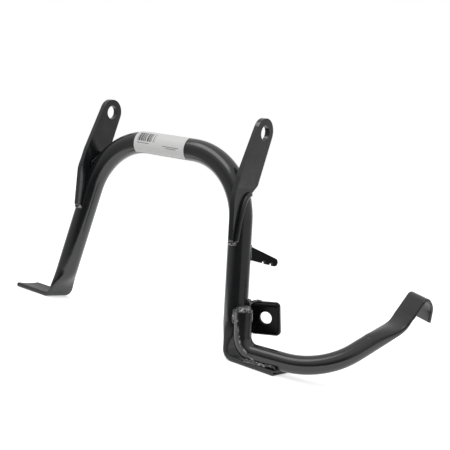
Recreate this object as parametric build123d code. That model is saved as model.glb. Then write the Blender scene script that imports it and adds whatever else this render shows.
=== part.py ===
from build123d import *
from math import sin, cos, tan, acos, asin, atan2, degrees, radians, pi, sqrt, hypot
import os

# Centre stand for a scooter or light motorcycle: a bent U of steel tube with flattened feet, two
# pivot ears, a foot lever welded to one leg, an arm for the return springs and a buffer bracket.
# Millimetres. Origin: middle of the pivot axis. +X: the bike's left, where the lever is.
# +Y: rear of the bike. +Z: up. The U stands upright, with both feet flat on the ground.

# Main tube
TUBE_D = 26.9             # outside diameter of the U
TUBE_WALL = 1.8
PIVOT_HEIGHT = 252.8      # pivot axis above the ground
SPLAY = 9.3               # degrees that each leg opens outwards
CROSSBAR_DROP = 31.9      # pivot axis to crossbar axis
CROSSBAR_SETBACK = 9.2    # plane of the U in front of the pivot axis
LEG_INSET = 12.5          # middle plane of an ear to the corner where leg and crossbar would meet
TUBE_BEND_R = 83.3        # upper bends, at the tube's axis

# Feet: the tube's own ends, pressed flat and bent outwards
FOOT_T = 5.6              # thickness of the pressed end
FOOT_DISH = 1.1           # depth of the hollow along its top
FLATTEN_LENGTH = 40.0     # height over which the round tube becomes flat
FOOT_BEND_R = 11.0
FOOT_LENGTH = 62.3        # corner of the foot bend to the tip

# Pivot ears, each a plate whose tongue stands along the front of the leg
EAR_SPACING = 237.0       # between the middle planes of the two plates
EAR_T = 6.0
EAR_EYE_R = 16.5          # round end about the pivot hole
PIVOT_BORE_D = 17.0
EAR_FOLD_DROP = 66.0      # fold line below the pivot axis
EAR_FOLD_R = 60.0
EAR_TONGUE_SPLAY = 3.0    # degrees that the tongue is folded outwards
EAR_SHOULDER_REACH = 32.6 # where the front edge starts to turn down
EAR_SHOULDER_DROP = 52.7
EAR_REACH = 37.0          # foremost corner of the front edge
EAR_REACH_DROP = 78.0
EAR_END_REACH = 28.4      # front corner at the end of the tongue
EAR_DROP = 127.0
TONGUE_WIDTH = 20.0
EAR_REAR_REACH = 5.8      # rear corner, behind the pivot axis
EAR_REAR_DROP = 59.8
EAR_NOTCH_REACH = 16.6    # inner corner of the notch that clears the tube
EAR_NOTCH_DROP = 82.3
EAR_FRONT_R = 30.0        # the two bends of the front edge
EAR_END_R = 4.5           # corners at the end of the tongue
EAR_NOTCH_R = 6.0

# Foot lever
LEVER_D = 20.0
LEVER_WALL = 1.2
LEVER_BITE = 1.9          # depth of the lever's cope into the leg
LEVER_SEAT = 1.2          # depth of its cope into the foot at the heel
LEVER_SIDE_ANGLE = 33.2   # degrees from straight outwards to the front, round the leg
LEVER_TOP_HEIGHT = 55.1   # top of the lever's upright above the ground
LEVER_HEEL_R = 18.0
LEVER_RUN_LENGTH = 93.0   # heel to the corner where the lever starts to rise
LEVER_RUN_HEADING = 7.8   # degrees from straight outwards to the rear
LEVER_RUN_SLOPE = 1.0
LEVER_ELBOW_R = 80.0
TREAD_HEADING = 58.6      # level direction of the tread's plane, from straight outwards to the rear
TREAD_ROLL = 5.4          # degrees that this plane leans over
LEVER_RISE = 36.6         # slopes in this plane, degrees
TREAD_SLOPE = 65.2
HOOK_TOP_SLOPE = -43.2
HOOK_END_SLOPE = -84.2
LEVER_RISE_LENGTH = 97.0
KNEE_R = 26.0
TREAD_LENGTH = 42.6
TREAD_T = 3.2             # thickness where the tube is pressed flat
TREAD_FLATTEN_BEFORE = 38.0
TREAD_FLATTEN_AFTER = 16.0
HOOK_TOP_LENGTH = 13.5
HOOK_TOP_R = 4.0
HOOK_END_LENGTH = 17.0
HOOK_END_R = 14.0

# Spring arm: a flat plate behind the lever-side leg
ARM_T = 4.0
ARM_HEADING = 74.8        # degrees from straight outwards to the rear
ARM_SLOPE = 10.0          # degrees that its plate is turned upwards
ARM_HEIGHT = 108.8        # its reference point on the leg's axis above the ground
ARM_REACH = 53.5          # leg's axis to the centre of the round tip
ARM_TIP_R = 4.7
ARM_TIP_DROP = 8.8        # centre of the tip below the reference point
ARM_ROOT_TOP = 20.8       # upper and lower corners at the leg's axis, above that point
ARM_ROOT_BOTTOM = 2.1
NOTCH_R = 3.0
NOTCH_PITCH = 11.6
NOTCH_COUNT = 2
NOTCH_DEPTH = 3.0

# Buffer bracket: pressed sheet with turned edges
BRACKET_T = 3.0
BRACKET_OUT = 31.3        # its hole from the leg's axis at the same height, to the outside
BRACKET_BACK = 14.0       # and to the rear
BRACKET_Z = 51.1          # its hole above the ground
BRACKET_TURN = 12.3       # degrees that its face is turned from the front to the outside
BRACKET_TILT = 10.1       # degrees that its face looks down
BRACKET_ROLL = 9.5        # degrees that it leans with the leg, seen from its face
BRACKET_REACH = 15.2      # hole to outer edge
BRACKET_INNER = 17.0      # hole to the fold beside the leg
BRACKET_HEIGHT = 38.0
BRACKET_SAG = 1.9         # middle of the face below the hole
BRACKET_RIM = 7.0         # depth of the turned edges
BRACKET_CORNER_R = 5.0
BRACKET_EDGE_R = 1.8      # inner radius where the edges are turned
BUFFER_HOLE_D = 14.0

# Label
LABEL_LENGTH = 78.0
LABEL_CENTRE_X = -10.0
LABEL_T = 0.3
LABEL_GAP = 0.1           # film to tube
LABEL_FROM = 20.3         # degrees from the top of the crossbar round its front
LABEL_TO = 156.0

# Weld beads
BEAD_R = 2.6
EAR_OUTER_BEAD_R = 3.2
ARM_BEAD_R = 1.7
BEAD_GAP = 1.1            # from the axis of a bead to each of the two faces that it joins
EAR_WELD_FROM = 52.0      # degrees round the upper bend where the ear's inner bead starts
EAR_WELD_TO = 60.0        # and where it ends
EAR_WELD_END = 3.0        # end of the outer bead above the end of the tongue
LEVER_CAP_D = 19.4        # domed weld over the top of the lever's upright
LEVER_CAP_RISE = 7.5
LEVER_WELD_LENGTH = 11.4  # of the beads beside the upright
FOOT_WELD_FROM = 10.2     # beads beside the level run, from its heel
FOOT_WELD_TO = 32.4
ARM_WELD_TOP = 15.0       # top of the arm's beads above its reference point

SOLE_Z = -PIVOT_HEIGHT
R = TUBE_D / 2
BEAD_ORBIT = R + BEAD_GAP
ACROSS = Vector(1, 0, 0)
BACK = Vector(0, 1, 0)
UP = Vector(0, 0, 1)
LEG_DOWN = ACROSS * sin(radians(SPLAY)) - UP * cos(radians(SPLAY))
LEG_OUT = ACROSS * cos(radians(SPLAY)) + UP * sin(radians(SPLAY))
BEND_TURN = 90 - SPLAY
CROSSBAR = UP * -CROSSBAR_DROP - BACK * CROSSBAR_SETBACK
SHOULDER = CROSSBAR + ACROSS * (EAR_SPACING / 2 - LEG_INSET)
BEND_CENTRE = SHOULDER - (ACROSS * tan(radians(BEND_TURN) / 2) + UP) * TUBE_BEND_R


def on_leg(z):
    """Point of the lever-side leg's axis at the height z."""
    return SHOULDER + LEG_DOWN * ((z - SHOULDER.Z) / LEG_DOWN.Z)


def on_bend(turn):
    """Axis point and outward normal on the upper bend, turned so far from the crossbar."""
    outward = ACROSS * sin(radians(turn)) + UP * cos(radians(turn))
    return BEND_CENTRE + outward * TUBE_BEND_R, outward


def heading(angle, slope=0.0):
    """Unit vector that points outwards, turned to the rear by angle and upwards by slope."""
    a, s = radians(angle), radians(slope)
    return Vector(cos(a) * cos(s), sin(a) * cos(s), sin(s))


def flat_width(diameter, thickness):
    """Width of a tube pressed to a thickness: its girth stays the same."""
    return thickness + pi * (diameter - thickness) / 2


def pressed_section(plane, diameter, thickness, width, share, dish=0.0):
    """Section of a tube that is pressed from round, share 0, to flat or dished, share 1."""
    def mix(start, end):
        return start + (end - start) * share

    diagonal = diameter / 2 * cos(radians(45))
    x = mix(diagonal, (width - thickness) / 2)
    y = mix(diagonal, thickness / 2)
    half, side = mix(diameter / 2, thickness / 2), mix(diameter / 2, width / 2)
    corners = [(-x, y), (x, y), (x, -y), (-x, -y)]
    middles = [(0, half - dish * share), (side, 0), (0, -half), (-side, 0)]
    edges = []
    for i, middle in enumerate(middles):
        start, end = corners[i], corners[(i + 1) % 4]
        straight = share == 1 and (i == 2 or i == 0 and dish == 0)
        edges.append(Line(start, end) if straight else ThreePointArc(start, middle, end))
    return plane * make_face(Wire(edges))


def smooth(share):
    """Ease in and out between 0 and 1."""
    return share * share * (3 - 2 * share)


def corner_run(before, after, radius):
    """Distance from a corner to the start of the arc that rounds it."""
    return radius * tan(radians(before.get_angle(after)) / 2)


def corner_arc(corner, before, after, radius, share):
    """Point and direction part of the way along the arc that rounds a corner."""
    inward = (after - before * before.dot(after)).normalized()
    a = radians(before.get_angle(after) * share)
    start = corner - before * corner_run(before, after, radius)
    point = start + before * radius * sin(a) + inward * radius * (1 - cos(a))
    return point, (before * cos(a) + inward * sin(a)).normalized()


def steps(count):
    """Even shares from just past 0 up to 1."""
    return [step / count for step in range(1, count + 1)]


def foot_skin(diameter, thickness, width, past=0.0):
    """Lever-side leg from the round tube through the foot bend to the tip of the foot."""
    corner = on_leg(SOLE_Z + FOOT_T / 2)
    start = on_leg(SOLE_Z + FLATTEN_LENGTH)
    bend = [corner_arc(corner, LEG_DOWN, ACROSS, FOOT_BEND_R, share)[0] for share in (0, 0.5, 1)]
    pressed = []
    for share in [0] + steps(4):
        place = Plane(start + (bend[0] - start) * share, x_dir=BACK, z_dir=LEG_DOWN)
        pressed.append(pressed_section(place, diameter, thickness, width, smooth(share), FOOT_DISH))
    tip = corner + ACROSS * (FOOT_LENGTH + past)
    return loft(pressed) + sweep(pressed[-1], Wire([ThreePointArc(*bend), Line(bend[-1], tip)]))


def bow_skin(diameter):
    """Round part of the U, from one pressed end to the other."""
    corners = [on_leg(SOLE_Z + FLATTEN_LENGTH), SHOULDER]
    corners += [Vector(-p.X, p.Y, p.Z) for p in reversed(corners)]
    path = FilletPolyline(corners, radius=TUBE_BEND_R)
    start = Plane(corners[0], x_dir=BACK, z_dir=-LEG_DOWN)
    return sweep(start * Circle(diameter / 2), path)


def tube_skin(diameter, thickness, width, past=0.0):
    """One skin of the main tube, from foot tip to foot tip."""
    foot = foot_skin(diameter, thickness, width, past)
    return bow_skin(diameter) + foot + mirror(foot, about=Plane.YZ)


def tangent_point(point, radius, side):
    """Where a line from a point touches a circle about the origin."""
    turn = atan2(point[1], point[0]) + side * acos(radius / hypot(*point))
    return radius * cos(turn), radius * sin(turn)


def ear_outline():
    """Side view of an ear, with the pivot hole at its origin."""
    shoulder = (-EAR_SHOULDER_REACH, -EAR_SHOULDER_DROP)
    rear = (EAR_REAR_REACH, -EAR_REAR_DROP)
    corners = [
        tangent_point(shoulder, EAR_EYE_R, -1), shoulder,
        (-EAR_REACH, -EAR_REACH_DROP), (-EAR_END_REACH, -EAR_DROP),
        (TONGUE_WIDTH - EAR_END_REACH, -EAR_DROP), (-EAR_NOTCH_REACH, -EAR_NOTCH_DROP), rear,
        tangent_point(rear, EAR_EYE_R, 1),
    ]
    radii = [0, EAR_FRONT_R, EAR_FRONT_R, EAR_END_R, EAR_END_R, EAR_NOTCH_R, EAR_NOTCH_R, 0]
    blank = make_face(FilletPolyline(corners, radius=radii, close=True))
    return blank + Circle(EAR_EYE_R) - Circle(PIVOT_BORE_D / 2)


def make_ear(tube):
    """Lever-side ear: a folded plate cut to its outline and coped round the tube."""
    fold = ACROSS * (EAR_SPACING / 2) - UP * EAR_FOLD_DROP
    down = (ACROSS * tan(radians(EAR_TONGUE_SPLAY)) - UP).normalized()
    top = fold + UP * (EAR_FOLD_DROP + EAR_EYE_R + EAR_T)
    path = FilletPolyline([top, fold, fold + down * EAR_DROP], radius=EAR_FOLD_R)
    sheet = sweep(Plane(top, x_dir=BACK, z_dir=-UP) * Rectangle(4 * EAR_DROP, EAR_T), path)
    side_view = Plane((0, 0, 0), x_dir=BACK, z_dir=ACROSS)
    return (sheet & extrude(side_view * ear_outline(), EAR_SPACING)) - tube


def ear_face_x(z, aside):
    """X of a plane beside the ear's middle plane, at the height z."""
    below_fold = max(0.0, -EAR_FOLD_DROP - z)
    return EAR_SPACING / 2 + below_fold * tan(radians(EAR_TONGUE_SPLAY)) + aside


def outer_stations():
    """Axis points and outward normals of the tube, from where it comes out through the ear."""
    reach = ear_face_x(-EAR_FOLD_DROP, EAR_T / 2 + BEAD_GAP) - BEND_CENTRE.X
    first = degrees(asin(reach / (TUBE_BEND_R + BEAD_ORBIT)))
    places = [on_bend(first + (BEND_TURN - first) * share ** 2) for share in [0] + steps(4)]
    bend_end, low = places[-1][0].Z, EAR_WELD_END - EAR_DROP
    return places + [(on_leg(bend_end + (low - bend_end) * share), LEG_OUT) for share in steps(2)]


def ear_seam_point(axis_point, outward, side):
    """Bead centre in the corner between the front of the tube and one face of the ear."""
    z = axis_point.Z
    for _ in range(8):
        x = ear_face_x(z, (EAR_T / 2 + BEAD_GAP) * side)
        share = max(-1.0, min(1.0, (x - axis_point.X) / (BEAD_ORBIT * outward.X)))
        point = axis_point + outward * BEAD_ORBIT * share - BACK * BEAD_ORBIT * sqrt(1 - share ** 2)
        z = point.Z
    return point


def bead(points, radius=BEAD_R):
    """Weld metal along a line of points, with round ends."""
    path = Spline(points) if len(points) > 2 else Line(points[0], points[1])
    start = Plane(path @ 0, z_dir=path % 0)
    ends = [Pos(*point) * Sphere(radius) for point in (path @ 0, path @ 1)]
    return sweep(start * Circle(radius), path) + ends


def bottom_seam():
    """Bead across the end of the tongue, in its corner with the front of the tube."""
    z = -EAR_DROP - BEAD_GAP / 2
    y = SHOULDER.Y - BEAD_ORBIT
    return [Vector(ear_face_x(z, EAR_T / 2 * side), y, z) for side in (-1, 1)]


def radial_seam(direction, half_t, side, z_from, z_to):
    """Straight bead along the leg, beside a plate that stands square on the tube."""
    out = (direction - LEG_DOWN * direction.dot(LEG_DOWN)).normalized()
    aside = out.cross(LEG_DOWN).normalized() * side
    lateral = half_t + BEAD_GAP
    shift = out * sqrt(BEAD_ORBIT ** 2 - lateral ** 2) + aside * lateral
    return [on_leg(z) + shift for z in (z_from, z_to)]


LEVER_OFF = LEG_OUT * cos(radians(LEVER_SIDE_ANGLE)) - BACK * sin(radians(LEVER_SIDE_ANGLE))
LEVER_APART = R + LEVER_D / 2 - LEVER_BITE
LEVER_HEEL_Z = SOLE_Z + FOOT_T + LEVER_D / 2 - LEVER_SEAT
LEVER_RUN = heading(LEVER_RUN_HEADING, LEVER_RUN_SLOPE)


def on_upright(z):
    """Point at the height z on the axis of the lever's upright, which is parallel to the leg."""
    base = SHOULDER + LEVER_OFF * LEVER_APART
    return base + LEG_DOWN * ((z - base.Z) / LEG_DOWN.Z)


def lever_skin(diameter, thickness, width, past=0.0):
    """One skin of the lever: round upright and run, then the flattened tread and its hook."""
    level = heading(TREAD_HEADING)
    steep = UP.rotate(Axis((0, 0, 0), level), TREAD_ROLL)
    rise, tread, over, down = [
        level * cos(radians(slope)) + steep * sin(radians(slope))
        for slope in (LEVER_RISE, TREAD_SLOPE, HOOK_TOP_SLOPE, HOOK_END_SLOPE)
    ]
    wide = level.cross(steep)
    top = on_upright(SOLE_Z + LEVER_TOP_HEIGHT)
    heel = on_upright(LEVER_HEEL_Z)
    elbow = heel + LEVER_RUN * LEVER_RUN_LENGTH
    knee = elbow + rise * LEVER_RISE_LENGTH
    press_start, press_end = knee - rise * TREAD_FLATTEN_BEFORE, knee + tread * TREAD_FLATTEN_AFTER

    path = FilletPolyline([top, heel, elbow, press_start], radius=[LEVER_HEEL_R, LEVER_ELBOW_R])
    round_part = sweep(Plane(top, x_dir=BACK, z_dir=LEG_DOWN) * Circle(diameter / 2), path)

    run = corner_run(rise, tread, KNEE_R)
    knee_start, knee_end = knee - rise * run, knee + tread * run
    places = [(press_start + (knee_start - press_start) * share, rise) for share in [0] + steps(3)]
    places += [corner_arc(knee, rise, tread, KNEE_R, share) for share in steps(2)]
    places += [(knee_end + (press_end - knee_end) * share, tread) for share in steps(1)]
    travelled, total = 0.0, sum((b[0] - a[0]).length for a, b in zip(places, places[1:]))
    sections = []
    for number, (point, ahead) in enumerate(places):
        travelled += (point - places[max(number - 1, 0)][0]).length
        place = Plane(point, x_dir=wide, z_dir=ahead)
        share = 1 if number == len(places) - 1 else smooth(travelled / total)
        sections.append(pressed_section(place, diameter, thickness, width, share))

    crest = knee + tread * TREAD_LENGTH
    turn = crest + over * HOOK_TOP_LENGTH
    end = turn + down * (HOOK_END_LENGTH + past)
    hook = FilletPolyline([press_end, crest, turn, end], radius=[HOOK_TOP_R, HOOK_END_R])
    return round_part + loft(sections) + sweep(sections[-1], hook)


def make_lever(tube):
    """Foot lever, coped to the leg and the foot and hollow all the way."""
    width = flat_width(LEVER_D, TREAD_T)
    twice = 2 * LEVER_WALL
    skin = lever_skin(LEVER_D, TREAD_T, width)
    bore = lever_skin(LEVER_D - twice, TREAD_T - twice, width - twice, 1.0)
    return skin - bore - tube, skin


def lever_groove(z, side, gap=BEAD_GAP):
    """Point beside the leg and the lever's upright, at the same gap from both tubes."""
    far, near = R + gap, LEVER_D / 2 + gap
    along = (LEVER_APART ** 2 + far ** 2 - near ** 2) / (2 * LEVER_APART)
    aside = LEG_DOWN.cross(LEVER_OFF).normalized() * sqrt(far ** 2 - along ** 2)
    return on_leg(z) + LEVER_OFF * along + aside * side


def foot_groove(distance, side, gap=BEAD_GAP):
    """Point beside the lever's run, so far from its heel and just above the foot."""
    middle = on_upright(LEVER_HEEL_Z) + LEVER_RUN * distance
    lift = SOLE_Z + FOOT_T + gap - middle.Z
    aside = LEVER_RUN.cross(UP).normalized() * sqrt((LEVER_D / 2 + gap) ** 2 - lift ** 2)
    return middle + aside * side + UP * lift


ARM_OUT = heading(ARM_HEADING, ARM_SLOPE)


def make_arm(tube):
    """Spring arm: a plate that tapers to a round tip, with notches for the spring hooks."""
    outline = make_hull(
        Line((0, ARM_ROOT_TOP), (0, ARM_ROOT_BOTTOM)).edges()
        + Circle(ARM_TIP_R).moved(Location((ARM_REACH, -ARM_TIP_DROP))).edges()
    )
    slope = atan2(-ARM_TIP_DROP - ARM_TIP_R - ARM_ROOT_BOTTOM, ARM_REACH)
    for number in range(NOTCH_COUNT):
        s = ARM_REACH - NOTCH_PITCH * (number + 0.5)
        line_z = ARM_ROOT_BOTTOM + s * tan(slope)
        outline -= Pos(s, line_z - NOTCH_R + NOTCH_DEPTH) * Circle(NOTCH_R)
    plane = Plane(on_leg(SOLE_Z + ARM_HEIGHT), x_dir=ARM_OUT, z_dir=LEG_DOWN.cross(ARM_OUT).normalized())
    return extrude(plane * outline, ARM_T / 2, both=True) - tube


def bracket_plane():
    """Plane of the bracket's face, with the hole at its origin and x to its outer edge."""
    centre = on_leg(SOLE_Z + BRACKET_Z) + ACROSS * BRACKET_OUT + BACK * BRACKET_BACK
    level, normal = heading(BRACKET_TURN), heading(BRACKET_TURN - 90, -BRACKET_TILT)
    return Plane(centre, x_dir=level.rotate(Axis((0, 0, 0), normal), BRACKET_ROLL), z_dir=normal)


def make_bracket(tube):
    """Buffer bracket: a shallow pressed pan with a web that runs back to the leg."""
    plane = bracket_plane()
    length = BRACKET_REACH + BRACKET_INNER
    middle = (BRACKET_REACH - BRACKET_INNER) / 2
    outer = BRACKET_EDGE_R + BRACKET_T
    block = Pos(middle, 0, -BRACKET_RIM / 2) * Box(length, BRACKET_HEIGHT, BRACKET_RIM)
    block = fillet(block.edges().filter_by(Axis.Z).group_by(Axis.X)[-1], BRACKET_CORNER_R)
    face_edges = block.faces().sort_by(Axis.Z)[-1].edges()
    block = fillet(face_edges.sort_by(Axis.X)[1:], outer)
    inside = Pos(middle - BRACKET_T, 0, -BRACKET_T - BRACKET_RIM / 2)
    hollow = inside * Box(length, BRACKET_HEIGHT - 2 * BRACKET_T, BRACKET_RIM)
    hollow = fillet(hollow.edges().filter_by(Axis.Z).group_by(Axis.X)[-1], BRACKET_CORNER_R - BRACKET_T)
    pan = Pos(0, -BRACKET_SAG, 0) * (block - hollow)
    pan -= Cylinder(BUFFER_HOLE_D / 2, 4 * BRACKET_T)
    pan = plane * pan

    fold = plane.origin - plane.x_dir * BRACKET_INNER - plane.z_dir * (BRACKET_T / 2)
    fold -= plane.y_dir * BRACKET_SAG
    inward = on_leg(fold.Z) - fold
    inward = (inward - LEG_DOWN * inward.dot(LEG_DOWN)).normalized()
    web_plane = Plane(fold, x_dir=inward, z_dir=inward.cross(LEG_DOWN))
    web = Rectangle(2 * R, BRACKET_HEIGHT - BRACKET_T, align=(Align.MIN, Align.CENTER))
    web = extrude(web_plane * web, BRACKET_T / 2, both=True)
    return (pan + web) - tube, inward * -1


def make_label():
    """Sticker wrapped round the front of the crossbar and the start of its bend."""
    inside = TUBE_D + 2 * LABEL_GAP
    start = Plane(CROSSBAR + ACROSS * (LABEL_CENTRE_X - LABEL_LENGTH / 2), x_dir=UP, z_dir=ACROSS)
    far = 4 * R
    spread = [(0, 0)] + [
        (far * cos(radians(a)), far * sin(radians(a)))
        for a in (LABEL_FROM, (LABEL_FROM + LABEL_TO) / 2, LABEL_TO)
    ]
    wedge = extrude(start * make_face(Polyline(spread, close=True)), LABEL_LENGTH)
    return (bow_skin(inside + 2 * LABEL_T) & wedge) - bow_skin(inside)


def make_lever_cap(tube):
    """Domed weld that closes the top of the lever's upright against the leg."""
    top = on_upright(SOLE_Z + LEVER_TOP_HEIGHT)
    radius = LEVER_CAP_D / 2
    dome = split(Sphere(radius), bisect_by=Plane.XY, keep=Keep.TOP)
    return Plane(top, z_dir=-LEG_DOWN) * scale(dome, by=(1, 1, LEVER_CAP_RISE / radius)) - tube


def ear_welds(tube, ear):
    """The three beads that join the lever-side ear to the leg."""
    inner = [on_bend(turn) for turn in (EAR_WELD_FROM, EAR_WELD_TO)]
    outer = [ear_seam_point(*station, 1) for station in outer_stations()]
    rear = bead(outer, EAR_OUTER_BEAD_R) - tube - ear
    return {
        "front": bead([ear_seam_point(*station, -1) for station in inner]) - tube - ear,
        "rear": rear,
        "end": bead(bottom_seam()) - tube - ear - rear,
    }


def plate_welds(direction, thickness, z_low, z_high, radius, tube, plate):
    """The two beads beside a plate that stands square on the leg."""
    return [
        bead(radial_seam(direction, thickness / 2, side, z_low, z_high), radius) - tube - plate
        for side in (-1, 1)
    ]


FOOT_W = flat_width(TUBE_D, FOOT_T)
TWICE_WALL = 2 * TUBE_WALL
tube = tube_skin(TUBE_D, FOOT_T, FOOT_W)
bore = tube_skin(TUBE_D - TWICE_WALL, FOOT_T - TWICE_WALL, FOOT_W - TWICE_WALL, 1.0)

ear = make_ear(tube)
lever, lever_solid = make_lever(tube)
arm = make_arm(tube)
bracket, web_out = make_bracket(tube)
cap = make_lever_cap(tube)
parts = {
    "main_tube": tube - bore,
    "ear_left": ear,
    "ear_right": mirror(ear, about=Plane.YZ),
    "foot_lever": lever,
    "spring_arm": arm,
    "buffer_bracket": bracket,
    "label": make_label(),
    "lever_cap_weld": cap,
}
for name, weld in ear_welds(tube, ear).items():
    parts[f"ear_left_{name}_weld"] = weld
    parts[f"ear_right_{name}_weld"] = mirror(weld, about=Plane.YZ)

upright_high = SOLE_Z + LEVER_TOP_HEIGHT - BEAD_R
for name, side in (("front", 1), ("rear", -1)):
    upright_seam = [lever_groove(z, side) for z in (upright_high, upright_high - LEVER_WELD_LENGTH)]
    foot_seam = [foot_groove(distance, side) for distance in (FOOT_WELD_FROM, FOOT_WELD_TO)]
    parts[f"lever_{name}_weld"] = bead(upright_seam) - tube - lever_solid - cap
    parts[f"foot_{name}_weld"] = bead(foot_seam) - lever_solid - tube

arm_low, arm_high = (SOLE_Z + ARM_HEIGHT + above for above in (ARM_ROOT_BOTTOM, ARM_WELD_TOP))
arm_beads = plate_welds(ARM_OUT, ARM_T, arm_low, arm_high, ARM_BEAD_R, tube, arm)
half_web = BRACKET_HEIGHT / 2 - BRACKET_CORNER_R
web_low, web_high = (SOLE_Z + BRACKET_Z - BRACKET_SAG + above for above in (-half_web, half_web))
bracket_beads = plate_welds(web_out, BRACKET_T, web_low, web_high, BEAD_R, tube, bracket)
for name, arm_bead, bracket_bead in zip(("inner", "outer"), arm_beads, bracket_beads):
    parts[f"arm_{name}_weld"] = arm_bead
    parts[f"bracket_{name}_weld"] = bracket_bead

os.makedirs("parts", exist_ok=True)
for name, shape in parts.items():
    export_step(shape, f"parts/{name}.step")
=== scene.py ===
# %% [markdown]
# # A motorcycle centre stand
#
# The stand is one weldment of black painted steel: a bent tube with pressed feet, two pivot ears, a foot
# lever, a notched arm and a small bracket. Its shapes come finished from the CAD model, so the work in
# Blender is in the paint, the weld metal, the label and the light. All lengths are in metres, in the frame
# of the CAD model: the pivot axis is the X axis, and the soles are 0.2528 m below it.

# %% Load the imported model
import math

import bpy
from mathutils import Matrix, Vector


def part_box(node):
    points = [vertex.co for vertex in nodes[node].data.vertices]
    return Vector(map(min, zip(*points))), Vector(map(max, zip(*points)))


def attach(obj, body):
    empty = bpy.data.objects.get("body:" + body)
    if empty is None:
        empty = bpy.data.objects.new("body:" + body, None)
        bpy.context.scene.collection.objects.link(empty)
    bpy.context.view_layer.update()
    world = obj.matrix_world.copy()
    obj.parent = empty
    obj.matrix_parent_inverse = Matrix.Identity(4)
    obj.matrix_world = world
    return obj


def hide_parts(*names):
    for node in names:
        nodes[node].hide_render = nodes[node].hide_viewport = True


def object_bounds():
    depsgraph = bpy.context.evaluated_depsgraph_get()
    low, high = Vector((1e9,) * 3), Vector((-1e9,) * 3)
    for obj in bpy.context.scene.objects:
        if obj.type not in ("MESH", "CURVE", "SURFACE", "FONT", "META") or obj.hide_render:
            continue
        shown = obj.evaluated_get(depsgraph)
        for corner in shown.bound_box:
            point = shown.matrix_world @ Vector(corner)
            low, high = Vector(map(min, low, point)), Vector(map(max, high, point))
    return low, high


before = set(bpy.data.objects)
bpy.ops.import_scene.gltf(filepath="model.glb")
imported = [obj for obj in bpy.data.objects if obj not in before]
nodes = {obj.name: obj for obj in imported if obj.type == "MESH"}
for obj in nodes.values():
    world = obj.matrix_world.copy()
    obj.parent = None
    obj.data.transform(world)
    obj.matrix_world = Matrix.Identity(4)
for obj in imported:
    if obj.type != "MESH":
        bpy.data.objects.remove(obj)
cad_low, cad_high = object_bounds()
scene = bpy.context.scene
print("CAD nodes:", len(nodes), "box", [round(v, 4) for v in (*cad_low, *cad_high)])

# %% [markdown]
# ## Helpers for the finishes
#
# A finish is a small graph of nodes. Written out link by link it is hard to read, so a few helpers keep the
# cells short: one makes a material with an empty graph, one adds a node and sets its sockets by name, and
# the others do sums, map ranges and mix two values or colours.

# %% Make a material, and add nodes to it
def new_finish(name):
    """An empty node material, its graph and its output."""
    finish = bpy.data.materials.new(name)
    finish.use_nodes = True
    finish.node_tree.nodes.clear()
    output = finish.node_tree.nodes.new("ShaderNodeOutputMaterial")
    return finish, finish.node_tree, output


def add(tree, kind, inputs=None, **settings):
    """Add a node of that kind, with its settings, its values and its links."""
    node = tree.nodes.new("ShaderNode" + kind)
    for key, value in settings.items():
        setattr(node, key, value)
    for key, value in (inputs or {}).items():
        if isinstance(value, bpy.types.NodeSocket):
            tree.links.new(value, node.inputs[key])
        else:
            node.inputs[key].default_value = value
    return node


print("a finish starts empty, and each node is added in one call")

# %% Sums, ranges and mixtures
def maths(tree, operation, *values):
    """The result of a Math node."""
    return add(tree, "Math", dict(enumerate(values)), operation=operation).outputs["Value"]


def spread(tree, value, low, high, start=0.0, end=1.0):
    """Map a value from the range low..high to start..end."""
    inputs = {"Value": value, "From Min": low, "From Max": high, "To Min": start, "To Max": end}
    return add(tree, "MapRange", inputs).outputs["Result"]


def blend(tree, share, first, second, kind="FLOAT"):
    """A number between two, or a colour between two where the kind is RGBA."""
    return add(tree, "Mix", {"Factor": share, "A": first, "B": second}, data_type=kind).outputs["Result"]


print("helpers ready")

# %% [markdown]
# ## Black paint
#
# The steel was dipped or sprayed satin black. A flat black would look like plastic, because what the eye
# reads as paint is in the gloss: a fine orange peel, a slow waviness where the coat ran, and a roughness
# that is not quite even. At the edges of the plates the coat is thinner and greyer, and that lighter grey
# also paints in the bright highlight that lies along the edges. Cycles' Bevel node finds those edges on the
# CAD meshes without touching them: where its rounded normal leaves the true one, there is an edge. It also
# rounds the light over them.

# %% Ripples and thin edges
WAVES = (70.0, 0.2, 0.0006)         # slow waves of the coat: how close together, how strong, how deep
PEEL = (1400.0, 0.06, 0.00008)      # orange peel: the same
EDGE_ROUND, EDGE_LOOKS = 0.0008, 6  # radius of the paint over an edge, and how often Bevel looks for it
EDGE_SEEN = (0.99, 0.80)            # cosine between the two normals: an edge begins, and is full
# The clouds break the lighter edge into patches: worn paint, and a painted highlight along the edge.
PATCHES = (0.35, 0.62)              # level of the clouds: the wear along an edge begins, and is full


def ripple(tree, place, normal, size):
    """The normal, bent over ripples in the coat."""
    closeness, strength, depth = size
    noise = add(tree, "TexNoise", {"Vector": place, "Scale": closeness, "Detail": 2.0})
    return add(tree, "Bump", {"Height": noise.outputs["Fac"], "Strength": strength,
                              "Distance": depth, "Normal": normal}).outputs["Normal"]


def worn_highlit_edges(tree, clouds):
    """The normal rounded over the edges, and how far an edge is worn and lit by a painted highlight, from 0
    to 1.
    """
    rounded = add(tree, "Bevel", {"Radius": EDGE_ROUND}, samples=EDGE_LOOKS).outputs["Normal"]
    true_normal = add(tree, "NewGeometry").outputs["True Normal"]
    turned = add(tree, "VectorMath", {0: rounded, 1: true_normal}, operation="DOT_PRODUCT").outputs["Value"]
    edge, patches = spread(tree, turned, *EDGE_SEEN), spread(tree, clouds, *PATCHES)
    return rounded, maths(tree, "MULTIPLY", edge, patches)


print("paint rounds edges by", EDGE_ROUND * 1000, "mm")

# %% Scuffs
FEET = (-0.238, -0.246)                             # height: scuffs begin, and are full
HEEL_X, HEEL_Z = (0.128, 0.140), (-0.214, -0.228)   # the same on the leg behind the heel of the lever


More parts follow.
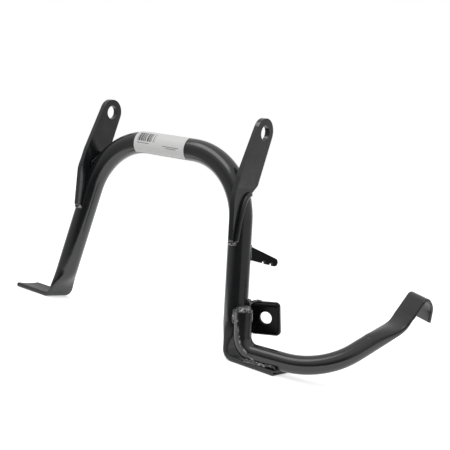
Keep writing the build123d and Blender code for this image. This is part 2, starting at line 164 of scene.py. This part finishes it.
def scuffs(tree, place):
    """1 on the feet and on the pressed leg behind the heel of the lever, and 0 elsewhere."""
    parts = add(tree, "SeparateXYZ", {"Vector": place}).outputs
    feet = spread(tree, parts["Z"], *FEET)
    beside, below = spread(tree, parts["X"], *HEEL_X), spread(tree, parts["Z"], *HEEL_Z)
    return maths(tree, "MAXIMUM", feet, maths(tree, "MULTIPLY", beside, below))


print("scuffs begin", round(FEET[0] - cad_low.z, 4), "m above the soles")

# %% Satin black paint
CLOUDS = {"Scale": 38.0, "Detail": 5.0, "Roughness": 0.6}   # uneven gloss
CLOUD_LEVELS, GLOSS_CHANGES = (0.3, 0.7), (-0.05, 0.07)     # and what its levels add to the roughness


def black_paint(name, colour, edge_wear_highlight_colour, roughness, ior=1.65, scuffed=0.0):
    """Satin paint with ripples, and a thinner, lighter coat along the edges whose grey is partly a painted
    highlight. Scuffs make it duller.
    """
    finish, tree, output = new_finish(name)
    place = add(tree, "TexCoord").outputs["Object"]
    clouds = add(tree, "TexNoise", {"Vector": place, **CLOUDS}).outputs["Fac"]
    rounded, wear_and_highlight = worn_highlit_edges(tree, clouds)
    rough = spread(tree, clouds, *CLOUD_LEVELS, *(roughness + change for change in GLOSS_CHANGES))
    if scuffed:
        rough = maths(tree, "MULTIPLY_ADD", scuffs(tree, place), scuffed, rough)
    # The lighter edge colour is partly worn paint and partly a painted highlight along the edges.
    shader = add(tree, "BsdfPrincipled", {
        "Base Color": blend(tree, wear_and_highlight, (*colour, 1), (*edge_wear_highlight_colour, 1), "RGBA"), "Roughness": rough,
        "Normal": ripple(tree, place, ripple(tree, place, rounded, WAVES), PEEL), "IOR": ior,
    })
    tree.links.new(shader.outputs["BSDF"], output.inputs["Surface"])
    return finish


print("roughness changes by", GLOSS_CHANGES)

# %% Three black paints
# Each edge colour is lighter than its paint: partly worn paint, partly a painted highlight along the edges.
frame_paint = black_paint("satin_black_paint", colour=(0.009, 0.0095, 0.0105),
                          edge_wear_highlight_colour=(0.05, 0.05, 0.052), roughness=0.17, scuffed=0.35)
lever_paint = black_paint("lever_black_paint", colour=(0.010, 0.0095, 0.009),
                          edge_wear_highlight_colour=(0.05, 0.048, 0.045), roughness=0.17)
# A darker copy of the paint that mirrors less, for the parts that lie in shade: painted shade. Its light
# grey edge is a painted highlight on their rims.
shaded_paint = black_paint("shaded_black_paint", colour=(0.004, 0.004, 0.0045),
                         edge_wear_highlight_colour=(0.16, 0.16, 0.16), roughness=0.25, ior=1.25)
print("paint:", frame_paint.name, lever_paint.name, shaded_paint.name)

# %% [markdown]
# ## Painted weld metal
#
# A weld is lumpy under the same paint, and it catches small bright glints. The paint pools between the
# ripples and mirrors more there than elsewhere, and here and there it has flaked off the crests. The lumps
# come from the shape, so the finish only adds a fine grain, and lets the grain say where the metal is bare.

# %% Weld finish
SPECKS = {"Scale": 300.0, "Detail": 3.0, "Roughness": 0.5}   # grain of the metal
BARE = (0.50, 0.66)                                          # level of the grain: paint thins, and is gone
WELD_BLACK, BARE_METAL = (0.016, 0.016, 0.017, 1), (0.30, 0.295, 0.29, 1)


def weld_paint(name):
    """Glossy uneven black with a few greyer crests."""
    finish, tree, output = new_finish(name)
    place = add(tree, "TexCoord").outputs["Object"]
    specks = add(tree, "TexNoise", {"Vector": place, **SPECKS}).outputs["Fac"]
    bump = add(tree, "Bump", {"Height": specks, "Strength": 0.2, "Distance": 0.0003})
    tint = blend(tree, spread(tree, specks, *BARE), WELD_BLACK, BARE_METAL, "RGBA")
    shader = add(tree, "BsdfPrincipled", {
        "Base Color": tint, "Roughness": 0.2, "IOR": 1.8, "Normal": bump.outputs["Normal"],
    })
    tree.links.new(shader.outputs["BSDF"], output.inputs["Surface"])
    return finish


weld_finish = weld_paint("painted_weld")
print("weld finish:", weld_finish.name)

# %% [markdown]
# ## The weld beads
#
# The CAD model has each weld as a plain rounded bead. On the real stand a bead is a row of frozen puddles,
# no two alike. A copy of the bead is merged, given one even skin with Remesh, and pushed in and out by a
# Displace modifier that reads a cloud texture. That is quicker than shaping each puddle, and it keeps the
# bead where it is. The beads beside the ears stay smooth, because the paint lies thick over them.

# %% Lumps
GRAIN = 0.00035              # size of the facets that carry the lumps
CLOUD_MIDDLE = 0.55          # level of the clouds that leaves the skin where it is


def lumpy(piece, height, lump):
    """Make a smooth bead lumpy. The piece is the active object."""
    skin = piece.modifiers.new("skin", "REMESH")
    skin.mode, skin.voxel_size = "VOXEL", GRAIN
    clouds = bpy.data.textures.new(piece.name + "_clouds", "CLOUDS")
    clouds.noise_scale, clouds.noise_depth = lump, 1
    push = piece.modifiers.new("lumps", "DISPLACE")
    push.texture, push.texture_coords = clouds, "LOCAL"
    push.strength, push.mid_level = height, CLOUD_MIDDLE
    ease = piece.modifiers.new("ease", "SMOOTH")
    ease.factor, ease.iterations = 0.5, 2
    for name in [step.name for step in piece.modifiers]:
        bpy.ops.object.modifier_apply(modifier=name)
    bpy.ops.object.shade_smooth()
    piece.data.materials.clear()
    piece.data.materials.append(weld_finish)
    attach(piece, "root")
    print(piece.name, "faces:", len(piece.data.polygons))


print("facets of", GRAIN * 1000, "mm")

# %% Beads that replace the plain ones
LUMPY_BEADS = {              # for each bead, how high and how wide its lumps are
    "lever_cap_weld": (0.0016, 0.0030), "lever_front_weld": (0.0012, 0.0020),
    "lever_rear_weld": (0.0012, 0.0020), "foot_front_weld": (0.0014, 0.0022),
    "foot_rear_weld": (0.0014, 0.0022), "arm_inner_weld": (0.0010, 0.0020),
    "arm_outer_weld": (0.0010, 0.0020), "bracket_inner_weld": (0.0010, 0.0020),
    "bracket_outer_weld": (0.0010, 0.0020), "ear_left_end_weld": (0.0012, 0.0020),
    "ear_right_end_weld": (0.0012, 0.0020),
}
SAME_CORNER = 1e-6           # corners this close are merged

for name, (height, lump) in LUMPY_BEADS.items():
    bpy.ops.object.select_all(action="DESELECT")
    bead = bpy.data.objects.new(name + "_metal", nodes[name].data.copy())
    scene.collection.objects.link(bead)
    bead.select_set(True)
    bpy.context.view_layer.objects.active = bead
    bpy.ops.object.mode_set(mode="EDIT")
    bpy.ops.mesh.select_all(action="SELECT")
    bpy.ops.mesh.remove_doubles(threshold=SAME_CORNER)
    bpy.ops.mesh.normals_make_consistent(inside=False)
    bpy.ops.object.mode_set(mode="OBJECT")
    lumpy(bead, height, lump)
    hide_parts(name)

# %% [markdown]
# ## Seams and a lip
#
# From the cap weld a thin run of weld metal goes down the flank of the lever and round its heel to the weld
# on the foot, and from there a stronger one closes the gap under the lever as far as the tip of the foot. A
# small lip joins the upper corner of the bracket to the leg. All are too fine for the CAD model. A path
# through a few points gets a round section and then the lumps of the other beads, in its own strength. The
# points of the seams are drawn onto the skin of the lever, and those of the lip are taken as they are.

# %% A thin run of metal
SECTION_STEPS = 4            # how finely its round section is cut


def seam(name, carrier, places, radius, height, lump):
    """A run of metal along the skin of the piece that carries it, or through the places themselves."""
    bpy.ops.object.select_all(action="DESELECT")
    bpy.ops.curve.primitive_nurbs_path_add()
    run = bpy.context.object
    run.name = name
    run.data.splines.clear()
    line = run.data.splines.new("POLY")
    line.points.add(len(places) - 1)
    for knot, place in zip(line.points, places):
        if carrier:
            place = carrier.closest_point_on_mesh(Vector(place))[1]
        knot.co = (*place, 1.0)
    run.data.dimensions = "3D"
    run.data.bevel_depth, run.data.bevel_resolution = radius, SECTION_STEPS
    run.data.use_fill_caps = True
    bpy.ops.object.convert(target="MESH")
    lumpy(bpy.context.object, height, lump)


print("a thin run has", SECTION_STEPS, "steps to its section")

# %% The two seams and the lip
HEEL_SEAM = (
    (0.1501, -0.0308, -0.2004), (0.1514, -0.0309, -0.2056), (0.1528, -0.0309, -0.2118),
    (0.1560, -0.0309, -0.2198), (0.1588, -0.0307, -0.2268), (0.1624, -0.0303, -0.2324),
    (0.1668, -0.0298, -0.2356), (0.1710, -0.0292, -0.2388), (0.1760, -0.0279, -0.2419),
    (0.1799, -0.0273, -0.2440),
)
TIP_SEAM = (
    (0.1915, -0.0250, -0.2455), (0.1950, -0.0244, -0.2462), (0.1990, -0.0236, -0.2462),
    (0.2025, -0.0228, -0.2460),
)
BRACKET_LIP = (
    (0.1452, -0.0022, -0.1905), (0.1480, -0.0002, -0.1872), (0.1515, 0.0024, -0.1852),
    (0.1560, 0.0050, -0.1852),
)
lever = nodes["foot_lever"]
seam("heel_seam", lever, HEEL_SEAM, radius=0.0011, height=0.0002, lump=0.0040)
seam("tip_seam", lever, TIP_SEAM, radius=0.0022, height=0.0018, lump=0.0026)
seam("bracket_lip", None, BRACKET_LIP, radius=0.0014, height=0.0003, lump=0.0040)

# %% [markdown]
# ## The label
#
# A strip of off-white film is wrapped round the crossbar. It carries nothing here but a field of plain
# bars at one end and three thin rules. An image could draw them, but they are made from the coordinates,
# so that they stay sharp: X is cut into steps, and a random value per step decides whether it is dark.

# %% An oblong on the film
def block(tree, value, x, z, across, upwards):
    """The value inside an oblong of the film, and 0 outside it."""
    for place, edge, side in ((x, across[0], "GREATER_THAN"), (x, across[1], "LESS_THAN"),
                              (z, upwards[0], "GREATER_THAN"), (z, upwards[1], "LESS_THAN")):
        value = maths(tree, "MULTIPLY", value, maths(tree, side, place, edge))
    return value


film_low, film_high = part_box("label")
print("film from", [round(v, 4) for v in film_low], "to", [round(v, 4) for v in film_high])

# %% Label film with plain bars
BAR_STEP, WHITE_SHARE = 0.0009, 0.45           # width of a step, and the share of them that stays white
BARS_ACROSS, BARS_DOWN = (0.005, 0.033), (0.0022, 0.0125)   # from the end and from the top of the film
RULES = ((0.005, 0.024, 0.0145), (0.046, 0.070, 0.0150), (0.051, 0.066, 0.0170))   # from, to, down
RULE_WIDTH = 0.0007
# The film's white is set darker than the film is: a painted shade over the whole label.
SHADED_FILM_WHITE, PRINT_GREY = (0.63, 0.63, 0.625, 1), (0.08, 0.08, 0.085, 1)


def label_film(name):
    """Matt film with a block of bars at one end, and three rules."""
    left, top = film_low.x, film_high.z
    finish, tree, output = new_finish(name)
    place = add(tree, "SeparateXYZ", {"Vector": add(tree, "TexCoord").outputs["Object"]}).outputs
    x, z = place["X"], place["Z"]
    step = maths(tree, "FLOOR", maths(tree, "DIVIDE", x, BAR_STEP))
    chance = add(tree, "TexWhiteNoise", {"W": step}, noise_dimensions="1D").outputs["Value"]
    dark = block(tree, maths(tree, "GREATER_THAN", chance, WHITE_SHARE), x, z,
                 [left + across for across in BARS_ACROSS], [top - down for down in reversed(BARS_DOWN)])
    for start, end, down in RULES:
        rule = block(tree, 1.0, x, z, (left + start, left + end), (top - down - RULE_WIDTH, top - down))
        dark = maths(tree, "MAXIMUM", dark, rule)
    tint = blend(tree, dark, SHADED_FILM_WHITE, PRINT_GREY, "RGBA")
    shader = add(tree, "BsdfPrincipled", {"Base Color": tint, "Roughness": 0.45})
    tree.links.new(shader.outputs["BSDF"], output.inputs["Surface"])
    return finish


film = label_film("label_film")
print("label:", film.name)

# %% [markdown]
# ## Put the finishes on
#
# The CAD nodes keep their meshes. Only their material slots change. The arm, the bracket and the short
# beads inside the ears look deep black because they lie in shade. That shade is painted in: they get a
# darker copy of the paint that mirrors least.

# %% Paint the nodes
# These parts get the darker copy of the paint: painted shade.
IN_SHADE_PARTS = ("spring_arm", "buffer_bracket", "ear_left_front_weld", "ear_right_front_weld")

for name, node in nodes.items():
    if name == "label":
        finish = film
    elif name in IN_SHADE_PARTS:
        finish = shaded_paint
    elif name.endswith("_weld") and not name.startswith("ear"):
        finish = weld_finish
    elif name == "foot_lever":
        finish = lever_paint
    else:
        finish = frame_paint
    node.data.materials.clear()
    node.data.materials.append(finish)
    print(name, "->", finish.name)

# %% [markdown]
# ## Studio
#
# The stand was photographed on a white sweep, in a room that is dark on the side where the camera stands
# and dim at its sides. Glossy black paint shows little of its own colour, so its shape is drawn by what it
# mirrors: the white sweep below it, the back wall, the dim sides, and between them the dark side, which
# lies as a black band along every tube. Walls could be built round the stand, but they would get in the way
# of the other views. So the floor and the world ask which way a reflection looks, and answer as the room
# would.

# %% What a reflection sees of the room
TO_CAMERA = (0.559, -0.829)                  # level direction of the camera
BACK_WALL = (-0.85, -0.35)                   # cosine to that direction: all back wall, and all side
SIDE_LEVEL, DARK_LEVEL = 0.42, 0.04          # how light the sides and the dark side are, where 1 is white
DARK_SIDE = (-130.0, -92.0, -38.0, -26.0)    # degrees round Z: starts, full from, full to, ends


def along(tree, x, y, way):
    """How far a place or direction lies along a level direction."""
    return maths(tree, "ADD", *(maths(tree, "MULTIPLY", value, share) for value, share in zip((x, y), way)))


def room_level(tree, x, y):
    """How light the room is in a level direction: its back, its sides and its dark side."""
    squared = maths(tree, "MULTIPLY_ADD", y, y, maths(tree, "MULTIPLY", x, x))
    facing = maths(tree, "DIVIDE", along(tree, x, y, TO_CAMERA), maths(tree, "SQRT", squared))
    walls = spread(tree, facing, *BACK_WALL, 1.0, SIDE_LEVEL)
    turn = maths(tree, "ARCTAN2", y, x)
    start, full, fading, end = (math.radians(angle) for angle in DARK_SIDE)
    dark = maths(tree, "MULTIPLY", spread(tree, turn, start, full), spread(tree, turn, end, fading))
    return blend(tree, dark, walls, DARK_LEVEL)


print("dark side from", DARK_SIDE[0], "to", DARK_SIDE[-1], "degrees")

# %% Which rays come by a mirror
def ray_kinds(tree):
    """1 for a ray straight from the camera, and 1 for one that comes by a reflection or through glass."""
    rays = add(tree, "LightPath").outputs
    return rays["Is Camera Ray"], maths(tree, "MAXIMUM", rays["Is Glossy Ray"], rays["Is Transmission Ray"])


WHITE = (1, 1, 1, 1)
print("white is", WHITE[:3])

# %% [markdown]
# ### Floor
#
# The sweep is one large plane at the level of the soles. To the camera it is plain white from every side,
# and it keeps the shadow of the stand, because one part of its white is lit and only the rest glows. In a
# reflection it ends softly in front of the stand and at its left as the camera sees it, where the dim room
# begins.

# %% Floor
SOLE = cad_low.z
FLOOR_SIZE = 24.0
FLOOR_PAINT, FLOOR_GLOW = (0.9, 0.9, 0.9, 1), 0.55       # what it sends back, and what it adds by itself
TO_FRONT, SWEEP_FRONT, FRONT_FADE = (0.0, -1.0), 0.165, 0.02        # where the white ends, and how softly
TO_LEFT, SWEEP_LEFT, LEFT_FADE = (-0.829, -0.559), 0.22, 0.06       # the same to the left of the camera

bpy.ops.object.select_all(action="DESELECT")
bpy.ops.mesh.primitive_plane_add(size=FLOOR_SIZE, location=(0, 0, SOLE))
floor = bpy.context.object
floor.name = "studio_floor"
print("floor at", round(SOLE, 4))

# %% Floor finish
floor_finish, tree, output = new_finish("studio_white")
place = add(tree, "SeparateXYZ", {"Vector": add(tree, "TexCoord").outputs["Object"]}).outputs
x, y = place["X"], place["Y"]
past_front = spread(tree, along(tree, x, y, TO_FRONT), SWEEP_FRONT - FRONT_FADE, SWEEP_FRONT + FRONT_FADE)
past_left = spread(tree, along(tree, x, y, TO_LEFT), SWEEP_LEFT - LEFT_FADE, SWEEP_LEFT + LEFT_FADE)
direct, reflected = ray_kinds(tree)
past_edge = maths(tree, "MULTIPLY", maths(tree, "MAXIMUM", past_front, past_left), reflected)
seen = maths(tree, "MULTIPLY", maths(tree, "MAXIMUM", direct, reflected), FLOOR_GLOW)
lit = add(tree, "BsdfDiffuse", {"Color": FLOOR_PAINT})
glow = add(tree, "Emission", {"Color": WHITE, "Strength": seen})
sweep = add(tree, "AddShader", {0: lit.outputs["BSDF"], 1: glow.outputs["Emission"]})
beyond = add(tree, "Emission", {"Color": WHITE, "Strength": room_level(tree, x, y)})
ground = add(tree, "MixShader", {0: past_edge, 1: sweep.outputs["Shader"], 2: beyond.outputs["Emission"]})
tree.links.new(ground.outputs["Shader"], output.inputs["Surface"])
floor.data.materials.append(floor_finish)
print("white sweep ends", SWEEP_FRONT, "m in front of the pivot axis")

# %% [markdown]
# ### World
#
# The world is the room above the floor. To the camera it is white, matt surfaces get an even soft light
# from it, and a reflection sees the walls low down and a plain light ceiling above them. A picture of a real
# room could do this too, but three plain levels are easier to match to a photograph.

# %% World
ROOM_LEVEL = 0.75            # soft light from the walls on matt surfaces
CEILING_LEVEL = 0.8          # how light the ceiling is in a reflection
WALL_HEIGHT = (0.65, 0.15)   # sine of the height: all ceiling above, and all wall below

world = bpy.data.worlds.new("studio_room")
scene.world = world
world.use_nodes = True
tree = world.node_tree
tree.nodes.clear()
output = tree.nodes.new("ShaderNodeOutputWorld")
way = add(tree, "SeparateXYZ", {"Vector": add(tree, "TexCoord").outputs["Generated"]}).outputs
direct, reflected = ray_kinds(tree)
walls = spread(tree, way["Z"], *WALL_HEIGHT)
mirror_level = blend(tree, walls, CEILING_LEVEL, room_level(tree, way["X"], way["Y"]))
plain_level = spread(tree, direct, 0.0, 1.0, ROOM_LEVEL, 1.0)
level = blend(tree, reflected, plain_level, mirror_level)
room = add(tree, "Background", {"Color": WHITE, "Strength": level})
tree.links.new(room.outputs["Background"], output.inputs["Surface"])
print("room level", ROOM_LEVEL)

# %% [markdown]
# ### Lamp
#
# One large softbox hangs above and in front of the stand. It lays the soft highlight on the upper sides of
# the crossbar and the lever, and the soft shadow under them. A point lamp would give hard small glints.

# %% Lamp
def softbox(name, place, target, wide, deep, power):
    """An oblong area lamp at a place, aimed at a target, that no camera sees."""
    lamp = bpy.data.lights.new(name, "AREA")
    lamp.shape, lamp.size, lamp.size_y, lamp.energy = "RECTANGLE", wide, deep, power
    holder = bpy.data.objects.new(name, lamp)
    scene.collection.objects.link(holder)
    holder.location = place
    holder.rotation_mode = "QUATERNION"
    holder.rotation_quaternion = (Vector(target) - Vector(place)).to_track_quat("-Z", "Y")
    holder.visible_camera = False


softbox("top_box", place=(-0.10, -0.36, 0.52), target=(0.02, -0.02, -0.10), wide=0.62, deep=0.34, power=1.5)

# %% [markdown]
# ## Camera
#
# The photograph was taken from the front left of the bike, from just above the middle of the stand, with
# the camera rolled a little. Straight edges and round ends of the stand were fitted to it, which gives the
# place of the camera and its directions.

# %% Camera
CAMERA_PLACE = (0.55734, -0.69601, -0.07028)
CAMERA_RIGHT = Vector((0.81081, 0.55376, 0.18959)).normalized()
CAMERA_BACK = Vector((0.55560, -0.83005, 0.04830)).normalized()
FOCAL_PIXELS, FRAME_PIXELS, SENSOR = 727.0, 450.0, 36.0

up = CAMERA_BACK.cross(CAMERA_RIGHT).normalized()
right = up.cross(CAMERA_BACK)
view = bpy.data.cameras.new("photo_camera")
view.sensor_width = SENSOR
view.lens = SENSOR * FOCAL_PIXELS / FRAME_PIXELS
camera = bpy.data.objects.new("photo_camera", view)
scene.collection.objects.link(camera)
camera.matrix_world = Matrix((
    (right.x, up.x, CAMERA_BACK.x, CAMERA_PLACE[0]),
    (right.y, up.y, CAMERA_BACK.y, CAMERA_PLACE[1]),
    (right.z, up.z, CAMERA_BACK.z, CAMERA_PLACE[2]),
    (0, 0, 0, 1),
))
scene.camera = camera
print("lens", round(view.lens, 2), "mm")

# %% [markdown]
# ## Colour management
#
# Standard keeps a colour as it is written, and nothing else in the view settings changes.

# %% View settings
scene.view_settings.view_transform = "Standard"
